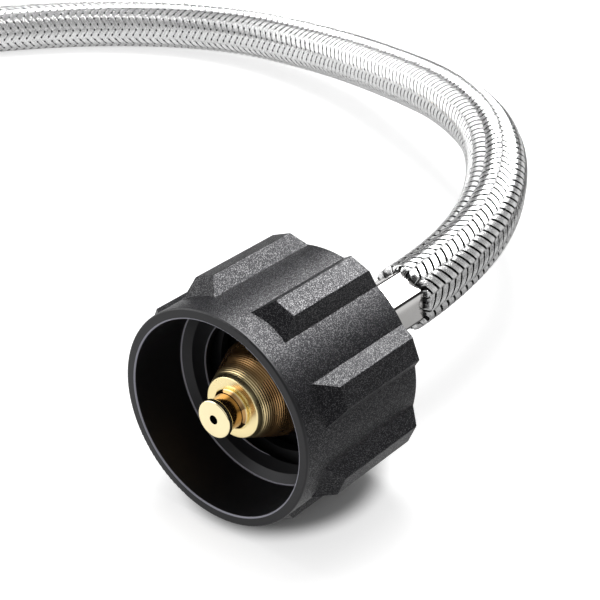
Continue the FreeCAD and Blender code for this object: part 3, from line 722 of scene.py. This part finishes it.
def tip_outline():
    """The stepped probe in the nose: disc, neck, flange and shank, with its small hole."""
    return rounded([
        (0.0, TIP_HOLE_RADIUS, 0.0), (0.0, TIP_FACE_RADIUS, 0.0), (0.0, TIP_RADIUS, 0.30),
        (TIP_BACK, TIP_RADIUS, 0.30), (TIP_BACK, NECK_RADIUS, 0.12), (NECK_BACK, NECK_RADIUS, 0.5),
        (TIP_FLANGE_FRONT, TIP_FLANGE_RADIUS, 0.0), (TIP_SEAT, TIP_FLANGE_RADIUS, 0.1),
        (TIP_SEAT, CHAMBER_RADIUS, 0.0), (SHANK_BACK, CHAMBER_RADIUS, 0.2),
        (SHANK_BACK, TIP_HOLE_RADIUS, 0.0)])


# The flare nut's stations beyond the free hose's end and its radii, in millimetres
FLARE_NUT_START, THREAD_START, FLARE_NUT_END = 24.5, 31.5, 41.2
THREAD_RADIUS, THREAD_PITCH, THREAD_DEPTH = 5.556, 25.4 / 24, 0.62
THREAD_RUN_IN, THREAD_BEVEL, RELIEF_HALF, RELIEF_DEPTH = 0.8, 0.8, 0.4, 0.35
FLARE_NUT_BORE, BORE_BEVEL = 3.3, 0.4
HEX_HALF_FLATS, HEX_BEVEL, HEX_BEVEL_SLOPE = 5.555, 5.9, 1.8
# Rows of points: the hexagon's, which lie closer at its ends, and how many in a thread's turn
HEX_ROWS = np.array([0.0, 0.08, 0.2, 0.35, 0.55, 1.0, 3.5, 6.5, 6.8, 6.93, 7.0])
THREAD_ROWS = 12


def flare_nut_mesh(name):
    """The flare nut: a bevelled hexagon, then a cut right-hand thread, round a plain bore."""
    turn = full_turn()
    hexagon = HEX_HALF_FLATS / np.cos((turn + math.pi / 2) % (math.pi / 3) - math.pi / 6)
    head = HEX_ROWS[:, None]
    bevel = HEX_BEVEL + HEX_BEVEL_SLOPE * np.minimum(head, HEX_ROWS[-1] - head)
    rows = [(FLARE_NUT_START + head + 0 * turn, np.minimum(hexagon, bevel))]
    steps = int((FLARE_NUT_END - THREAD_START) / THREAD_PITCH * THREAD_ROWS)
    station = np.linspace(THREAD_START, FLARE_NUT_END, steps)[:, None]
    phase = (station / THREAD_PITCH - turn / (2 * math.pi)) % 1.0
    crest = np.clip(np.abs(phase - 0.5) * 2.5 - 0.15, 0.0, 1.0)
    run_in = np.clip((station - THREAD_START - THREAD_RUN_IN) / THREAD_RUN_IN, 0.0, 1.0)
    radius = THREAD_RADIUS - THREAD_DEPTH * (1.0 - crest) * run_in
    end = np.clip(station - FLARE_NUT_END + THREAD_BEVEL, 0.0, 1.0)
    relief = np.clip(1.0 - np.abs(station - THREAD_START - RELIEF_HALF) / RELIEF_HALF, 0.0, 1.0)
    radius = np.minimum(radius, THREAD_RADIUS - end) - RELIEF_DEPTH * relief
    rows.append((station + 0 * turn, radius))
    wide = FLARE_NUT_BORE + BORE_BEVEL
    bore = np.array([[FLARE_NUT_END, wide], [FLARE_NUT_END - BORE_BEVEL, FLARE_NUT_BORE],
                     [FLARE_NUT_START + BORE_BEVEL, FLARE_NUT_BORE], [FLARE_NUT_START, wide]])
    rows.append((bore[:, :1] + 0 * turn, bore[:, 1:] + 0 * turn))
    stations, radii = [np.concatenate(parts) * MM for parts in zip(*rows)]
    points = FAR_END.surface(stations, turn + 0 * stations, radii)
    faces = grid_faces(len(stations), TURNED_SEGMENTS, wrap=True)
    return build_mesh(name, points, faces, math.radians(35), closed=True)


# The hose is squeezed inside each ferrule and swells to its full size just outside
SWELL_LENGTH = 0.0005
INSIDE_FERRULE = 0.0015
SQUEEZED_BRAID = 0.00452

# The layers under the braid: piece, node, slot, and inner and outer radius, free and squeezed
HOSE_LAYERS = (
    ("hose_inner_tube", "hose_liner", "hose_rubber", (0.0032, 0.0046), (0.0035, 0.0040)),
    ("hose_textile_layer", "hose_textile", "textile", (0.0046, 0.0051), (0.0040, 0.00415)),
    ("hose_rubber_cover", "hose_cover", "hose_rubber", (0.0051, 0.0062), (0.00415, 0.0042)),
)
LAYER_SEGMENTS, LAYER_STEP, LAYER_SWELL_ROWS = 48, 0.0025, 10
TEXTILE_COLOR = (0.45, 0.43, 0.38)


def swelling(along):
    """From 0 inside a ferrule to 1 on the free hose."""
    near = np.clip(along / SWELL_LENGTH, 0.0, 1.0)
    far = np.clip((PATH.length - along) / SWELL_LENGTH, 0.0, 1.0)
    return 1.0 - (1.0 - np.minimum(near, far)) ** 3


def layer_mesh(name, free, squeezed):
    """One rubber or textile layer: a hollow tube with closed ends."""
    body = np.arange(SWELL_LENGTH, PATH.length - SWELL_LENGTH, LAYER_STEP)
    swell = np.linspace(-INSIDE_FERRULE, SWELL_LENGTH, LAYER_SWELL_ROWS)[:-1]
    along = np.concatenate([swell, body, PATH.length - swell[::-1]])[:, None]
    turn = full_turn(LAYER_SEGMENTS)
    inner, outer = [
        PATH.surface(along + 0 * turn, turn + 0 * along,
                     small + (wide - small) * swelling(along) + 0 * turn)
        for wide, small in zip(free, squeezed)]
    loop = np.concatenate([outer, inner[::-1]])
    faces = grid_faces(len(loop), LAYER_SEGMENTS, wrap=True)
    return build_mesh(name, loop, faces)


# A strand: how far its wires bulge and its edges drop, and how sharply it rises and dips
WIRE_CREST, STRAND_DROP, WEAVE_SHARPNESS = 0.0001, 0.00028, 2.2
# Its rows of points: their distance along the strand, and their places at its root
ROW_STEP, ROOT_FRONT, ROOT_STEP = 0.00128, 0.0004, 0.00012
# The swelling up to which its root carries a painted shadow, and over which that fades
ROOT_SHADOW, ROOT_FADE = 0.35, 0.3
# Where along the hose the painted shade between strands starts and ends to fade, and how much it does
FADE_START, FADE_END, FADE_SHARE = 0.06, 0.14, 0.56
LAY_SEEDS = {1: 11, -1: 23}


def braid_lay(name, look, handedness):
    """The strands of the braid that wind one way, each a band of wires side by side."""
    middle = look.diameter / 2 - look.weave_height - WIRE_CREST
    full_slant = math.atan(2 * math.pi * middle / look.lead)
    root = np.array([-INSIDE_FERRULE, -ROOT_FRONT, *np.arange(0.0, SWELL_LENGTH, ROOT_STEP)])
    free = np.arange(SWELL_LENGTH, PATH.length - SWELL_LENGTH, ROW_STEP * math.cos(full_slant))
    along = np.concatenate([root, free, PATH.length - root[::-1]])[:, None]
    # Across a strand: its dropped edges, then the valleys and crests of its wires
    count = 2 * look.wires + 1
    across = np.concatenate([[-0.5], np.linspace(-0.5, 0.5, count), [0.5]])
    crest = np.concatenate([[0.0], np.arange(count) % 2, [0.0]])
    drop = np.concatenate([[1.0], np.zeros(count), [1.0]])
    points, faces, painted_shade, tints = [], [], [], []
    chance = np.random.default_rng(LAY_SEEDS[handedness])
    rows, columns = len(along), len(across)
    core = SQUEEZED_BRAID + (middle - SQUEEZED_BRAID) * swelling(along)
    slant = np.arctan(2 * math.pi * core / look.lead)
    spread = look.strand_width * np.sin(slant) / math.sin(full_slant)
    depth = 1.0 - FADE_SHARE * np.clip((along - FADE_START) / (FADE_END - FADE_START), 0.0, 1.0)
    for strand in range(look.carriers):
        place = along - handedness * across * spread * np.sin(slant)
        swollen = swelling(place)
        reach = SQUEEZED_BRAID + (middle - SQUEEZED_BRAID) * swollen
        turn = handedness * 2 * math.pi * along / look.lead + 2 * math.pi * strand / look.carriers
        turn = turn + across * spread * np.cos(slant) / reach
        weave = np.cos(look.carriers / 2 * turn + math.pi / 4)
        weave = handedness * np.tanh(WEAVE_SHARPNESS * weave) / math.tanh(WEAVE_SHARPNESS)
        radius = reach + look.weave_height * weave + WIRE_CREST * crest - STRAND_DROP * drop
        points.append(PATH.surface(place, turn, radius).reshape(-1, 3))
        faces.append(grid_faces(rows, columns, strand * rows * columns))
        # Painted shadow at the strand's root, by the ferrule
        root_shadow = np.clip(1.0 - (swollen - ROOT_SHADOW) / ROOT_FADE, 0.0, 1.0)
        # Painted shade where a strand dips under another or drops at its edges
        low = np.maximum(0.5 - 0.5 * weave, drop)
        painted_shade.append((np.maximum(low, root_shadow) * depth).ravel())
        wire_tints = np.repeat(chance.random(look.wires + 1), 2)[:count]
        tints.append((np.concatenate([[0.5], wire_tints, [0.5]]) * np.ones_like(turn)).ravel())
    mesh = build_mesh(name, np.concatenate(points), np.concatenate(faces), sharp=None)
    crease_wires(mesh, columns, crest)
    for label, values in (("painted_shade", painted_shade), ("tint", tints)):
        field = mesh.attributes.new(label, "FLOAT", "POINT")
        field.data.foreach_set("value", np.concatenate(values).astype(np.float32))
    return mesh


def crease_wires(mesh, columns, crest):
    """Keep the valleys between the wires sharp, so that each wire shades as a round one."""
    ends = np.zeros(2 * len(mesh.edges), dtype=np.int32)
    mesh.edges.foreach_get("vertices", ends)
    column = ends.reshape(-1, 2) % columns
    valley = (column[:, 0] == column[:, 1]) & (crest[column[:, 0]] == 0)
    field = mesh.attributes.new("sharp_edge", "BOOLEAN", "EDGE")
    field.data.foreach_set("value", valley)


class GASHOSE_OT_hand_nut(bpy.types.Operator):
    """Finish the ribbed hand nut in moulded plastic"""

    bl_idname = "gashose.hand_nut"
    bl_label = "Hand Nut"

    def execute(self, context):
        look = context.scene.gas_hose_nut
        dress("handwheel", plastic_material(look))
        return {"FINISHED"}


# The thermal bushing's colour
BUSHING_COLOR = (0.02, 0.02, 0.02)


class GASHOSE_OT_fittings(bpy.types.Operator):
    """Finish the brass nipple, its tip and the flow limiter inside"""

    bl_idname = "gashose.fittings"
    bl_label = "Brass Fittings"

    def execute(self, context):
        look = context.scene.gas_hose_metal
        marks = look.turning_pitch / 3
        brass = brass_material("Turned brass", look.brass_color, marks)
        grooved = brass_material("Grooved brass", look.brass_color, marks, 0.26, 0.1, CONE_PAINTED_SHADE)
        nipple = turned_mesh("brass_nipple", nipple_outline(look.turning_pitch))
        add_piece(nipple, grooved, "hose", "brass", "nipple")
        bright = brass_material("Tip brass", look.tip_color, marks, 0.06, 0.0, NECK_PAINTED_SHADE)
        tip = turned_mesh("stepped_inlet_tip", tip_outline())
        add_piece(tip, bright, "hose", "brass", "inlet_tip")
        dress("flow_piston", brass)
        dress("flow_spring", metal_material("Spring steel", look.ferrule_color, 0.25)[0])
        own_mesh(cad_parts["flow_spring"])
        dress("thermal_bushing", rubber_material("Bushing plastic", BUSHING_COLOR, 0.5))
        return {"FINISHED"}


class GASHOSE_OT_ferrules(bpy.types.Operator):
    """Finish the two crimped ferrules"""

    bl_idname = "gashose.ferrules"
    bl_label = "Ferrules"

    def execute(self, context):
        look = context.scene.gas_hose_metal
        dress("near_ferrule", creased_material("Creased ferrule", look.ferrule_color, 0.12))
        dress("far_ferrule", metal_material("Plated ferrule", look.ferrule_color, 0.12)[0])
        return {"FINISHED"}


class GASHOSE_OT_far_end(bpy.types.Operator):
    """Finish the tube and the flare nut at the far end"""

    bl_idname = "gashose.far_end"
    bl_label = "Far End"

    def execute(self, context):
        look = context.scene.gas_hose_metal
        brass = brass_material("Flare nut brass", look.stem_color, look.turning_pitch)
        dress("far_stem", brass)
        add_piece(flare_nut_mesh("threaded_flare_nut"), brass, "flare_nut", "stem_brass", "swivel_nut")
        return {"FINISHED"}


class GASHOSE_OT_hose(bpy.types.Operator):
    """Build the hose: liner, textile, cover and the braid of steel wire"""

    bl_idname = "gashose.hose"
    bl_label = "Braided Hose"

    def execute(self, context):
        look = context.scene.gas_hose_braid
        materials = {"hose_rubber": rubber_material("Hose rubber", look.rubber_color),
                     "textile": rubber_material("Hose textile", TEXTILE_COLOR, 0.9)}
        inside = [
            add_piece(layer_mesh(name, free, squeezed), materials[slot], "hose", slot, layer)
            for name, layer, slot, free, squeezed in HOSE_LAYERS]
        wire = wire_material(look)
        first = add_piece(braid_lay("braid_strands_right", look, 1), wire,
                          "hose", "braid_steel", "steel_braid")
        second = add_piece(braid_lay("braid_strands_left", look, -1), wire,
                           "hose", "braid_steel", "steel_braid")
        far_pieces = [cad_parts[name] for name in ("far_ferrule", "far_stem")]
        far_pieces.append(bpy.data.objects["threaded_flare_nut"])
        return {"FINISHED"}


def towards(azimuth, elevation):
    """The direction with this azimuth, clockwise from +Y, and this elevation, in degrees."""
    azimuth, elevation = math.radians(azimuth), math.radians(elevation)
    return Vector((math.sin(azimuth) * math.cos(elevation), math.cos(azimuth) * math.cos(elevation),
                   math.sin(elevation)))


# The photograph's view, with its angles in degrees, and the lamp above
CAMERA_PLACE, CAMERA_ANGLES = (0.16178, -0.20544, 0.18122), (38.78, 29.24, 0.28)
LAMP_PLACE, LAMP_TARGET, LAMP_SIZE = (-0.20, 0.16, 0.75), (-0.03, 0.03, 0.0), (0.42, 0.42)
# The floor's half width, and the oval round the shadow: stretch, shift, edge, light outside
FLOOR_HALF, OVAL_STRETCH, OVAL_SHIFT = 3.0, (1.5, 1.7), 0.008
OVAL_EDGE, OVAL_LIGHT = (0.0095, 0.0135), 0.6
# The floor in gloss: its own light, and a painted shadow spot without it, darker in reflections: middle,
# soft edge and tone
GLOSS_LIGHT, SPOT_MIDDLE, SPOT_EDGE, SHADOW_SPOT_TONE = 0.4, (0.03, 0.07, 0.0), (0.04, 0.09), 0.9
# The sky in gloss: its tones at the left, low, high and in front, and where they change
SKY_LEFT, SKY_LOW, SKY_HIGH, SKY_FRONT = 0.6, 0.18, 0.7, 0.35
LEFT_EDGE, HIGH_EDGE, FRONT_EDGE = (-0.6, 0.7), (0.05, 0.55), (-0.3, -0.8)
# The glow in gloss: azimuth and elevation in degrees, soft edge and brightness
GLOW_AT, GLOW_EDGE, GLOW_LIGHT = (-114.0, 24.0), (0.72, 0.93), 2.6
# The sheet in gloss: azimuth and elevation in degrees, half sizes and soft edge
SHEET_AT, SHEET_HALVES, SHEET_BLUR = (0.0, 45.0), (0.35, 0.30), 0.10
# The sky's light on dull surfaces
SKY_LIGHT = 0.5


class GASHOSE_OT_stage(bpy.types.Operator):
    """Set up the floor, the lights, the surroundings and the camera"""

    bl_idname = "gashose.stage"
    bl_label = "Stage"

    def execute(self, context):
        look = context.scene.gas_hose_stage
        self.floor(look)
        self.surroundings(context.scene, look)
        self.lamp(context.scene, look)
        self.camera(context.scene, look)
        context.scene.view_settings.view_transform = "Standard"
        return {"FINISHED"}

    def floor(self, look):
        """A wide pale floor that stays white to the camera and keeps the shadow."""
        tone = [look.floor_tone] * 3
        made, tree, shader, place = new_material("Floor", tone, 1.0)
        shader.inputs["Specular IOR Level"].default_value = 0.0
        shader.inputs["Emission Color"].default_value = (1.0, 1.0, 1.0, 1.0)
        rays = node(tree, "ShaderNodeLightPath").outputs
        wide, deep = OVAL_STRETCH
        oval = vector_math(tree, "MULTIPLY_ADD", place, (1 / wide, 1 / deep, 0.0),
                           (0.0, OVAL_SHIFT / deep, 0.0))
        apart = ramp(tree, vector_math(tree, "LENGTH", oval), *OVAL_EDGE, 0.0, OVAL_LIGHT)
        seen = times(tree, rays["Is Camera Ray"], apart)
        # Painted shadow for reflections: a spot where shiny surfaces see the floor darker
        shadow_spot = ramp(tree, vector_math(tree, "DISTANCE", place, SPOT_MIDDLE), *SPOT_EDGE, 1.0, 0.0)
        shiny = times(tree, rays["Is Glossy Ray"], GLOSS_LIGHT)
        shiny = times(tree, shiny, math_node(tree, "SUBTRACT", 1.0, shadow_spot))
        lift = math_node(tree, "MAXIMUM", seen, shiny)
        tree.links.new(lift, shader.inputs["Emission Strength"])
        reflected_shadow = times(tree, rays["Is Glossy Ray"], shadow_spot)
        color = mix_color(tree, reflected_shadow, shade(tone), shade(tone, SHADOW_SPOT_TONE))
        tree.links.new(color, shader.inputs["Base Color"])
        corners = [(x * FLOOR_HALF, y * FLOOR_HALF, 0.0) for x, y in ((-1, -1), (1, -1), (1, 1), (-1, 1))]
        mesh = bpy.data.meshes.new("floor")
        mesh.from_pydata(corners, [], [(0, 1, 2, 3)])
        mesh.materials.append(made)
        ground = bpy.data.objects.new("floor", mesh)
        bpy.context.scene.collection.objects.link(ground)

    def surroundings(self, scene, look):
        """White to the camera and to shiny surfaces, and softer as a source of light."""
        world = bpy.data.worlds.new("Studio")
        scene.world = world
        world.use_nodes = True
        tree = world.node_tree
        back = tree.nodes["Background"]
        back.inputs["Color"].default_value = (1.0, 1.0, 1.0, 1.0)
        rays = node(tree, "ShaderNodeLightPath").outputs
        place = node(tree, "ShaderNodeTexCoord").outputs["Generated"]
        parts = split_vector(tree, place)
        right = ramp(tree, parts["X"], *LEFT_EDGE, SKY_LEFT, 1.0)
        height = ramp(tree, parts["Z"], *HIGH_EDGE, SKY_LOW, SKY_HIGH)
        front = ramp(tree, parts["Y"], *FRONT_EDGE, 0.0, SKY_FRONT)
        sky = math_node(tree, "MAXIMUM", times(tree, right, height), front)
        facing = vector_math(tree, "DOT_PRODUCT", place, tuple(towards(*GLOW_AT)))
        sky = math_node(tree, "ADD", sky, ramp(tree, facing, *GLOW_EDGE, 0.0, GLOW_LIGHT))
        sky = math_node(tree, "ADD", sky, self.sheet(tree, place, look.sheen))
        shiny = math_node(tree, "MAXIMUM", rays["Is Glossy Ray"], rays["Is Transmission Ray"])
        strength = mix_number(tree, shiny, SKY_LIGHT, sky)
        strength = mix_number(tree, rays["Is Camera Ray"], strength, 1.0)
        tree.links.new(strength, back.inputs["Strength"])

    def sheet(self, tree, place, brightness):
        """A pale sheet with soft edges that hangs behind the object, tilted towards it."""
        middle = towards(*SHEET_AT)
        azimuth = math.radians(SHEET_AT[0])
        side = Vector((math.cos(azimuth), -math.sin(azimuth), 0.0))
        facing = vector_math(tree, "DOT_PRODUCT", place, tuple(middle))
        made = times(tree, math_node(tree, "GREATER_THAN", facing, 0.0), brightness)
        for axis, half in zip((side, side.cross(middle)), SHEET_HALVES):
            apart = math_node(tree, "ABSOLUTE", vector_math(tree, "DOT_PRODUCT", place, tuple(axis)))
            edge = ramp(tree, apart, half - SHEET_BLUR, half + SHEET_BLUR, 1.0, 0.0)
            made = times(tree, made, edge)
        return made

    def lamp(self, scene, look):
        """A soft lamp above, given by its radiance, that no shiny surface shows."""
        data = bpy.data.lights.new("Overhead light", "AREA")
        data.shape = "RECTANGLE"
        data.size, data.size_y = LAMP_SIZE
        data.energy = look.key * math.pi * LAMP_SIZE[0] * LAMP_SIZE[1]
        made = bpy.data.objects.new("Overhead light", data)
        made.location = LAMP_PLACE
        facing = Vector(LAMP_TARGET) - Vector(LAMP_PLACE)
        made.rotation_euler = facing.to_track_quat("-Z", "Y").to_euler()
        made.visible_camera = False
        made.visible_glossy = False
        scene.collection.objects.link(made)

    def camera(self, scene, look):
        """The photograph's view: where the camera stands and how it is turned."""
        data = bpy.data.cameras.new("Camera")
        data.lens = look.lens
        data.sensor_width = 36.0
        data.clip_start = 0.01
        made = bpy.data.objects.new("Camera", data)
        azimuth, elevation, roll = [math.radians(angle) for angle in CAMERA_ANGLES]
        turned = (Matrix.Rotation(azimuth, 4, "Z")
                  @ Matrix.Rotation(math.pi / 2 - elevation, 4, "X")
                  @ Matrix.Rotation(roll, 4, "Z"))
        made.matrix_world = Matrix.Translation(CAMERA_PLACE) @ turned
        scene.collection.objects.link(made)
        scene.camera = made


class GASHOSE_PT_panel(bpy.types.Panel):
    """Lists the pieces and their settings in the sidebar"""

    bl_idname = "GASHOSE_PT_panel"
    bl_label = "Propane Regulator Hose"
    bl_space_type = "VIEW_3D"
    bl_region_type = "UI"
    bl_category = "Gas Hose"

    def draw(self, context):
        layout = self.layout
        for name, group_class in LOOKS.items():
            box = layout.box()
            box.label(text=group_class.__doc__)
            look = getattr(context.scene, name)
            for prop in group_class.__annotations__:
                box.prop(look, prop)
        for operator in STEPS:
            layout.operator(operator.bl_idname)


STEPS = (
    GASHOSE_OT_far_end,
    GASHOSE_OT_hose,
    GASHOSE_OT_hand_nut,
    GASHOSE_OT_fittings,
    GASHOSE_OT_ferrules,
    GASHOSE_OT_stage,
)
CLASSES = (*LOOKS.values(), *STEPS, GASHOSE_PT_panel)


def register():
    for item in CLASSES:
        bpy.utils.register_class(item)
    for name, group_class in LOOKS.items():
        setattr(bpy.types.Scene, name, PointerProperty(type=group_class))


def unregister():
    for name in LOOKS:
        delattr(bpy.types.Scene, name)
    for item in reversed(CLASSES):
        bpy.utils.unregister_class(item)


def main():
    register()
    bpy.ops.gashose.far_end()
    bpy.ops.gashose.hose()
    bpy.ops.gashose.hand_nut()
    bpy.ops.gashose.fittings()
    bpy.ops.gashose.ferrules()
    bpy.ops.gashose.stage()


if __name__ == "__main__":
    main()
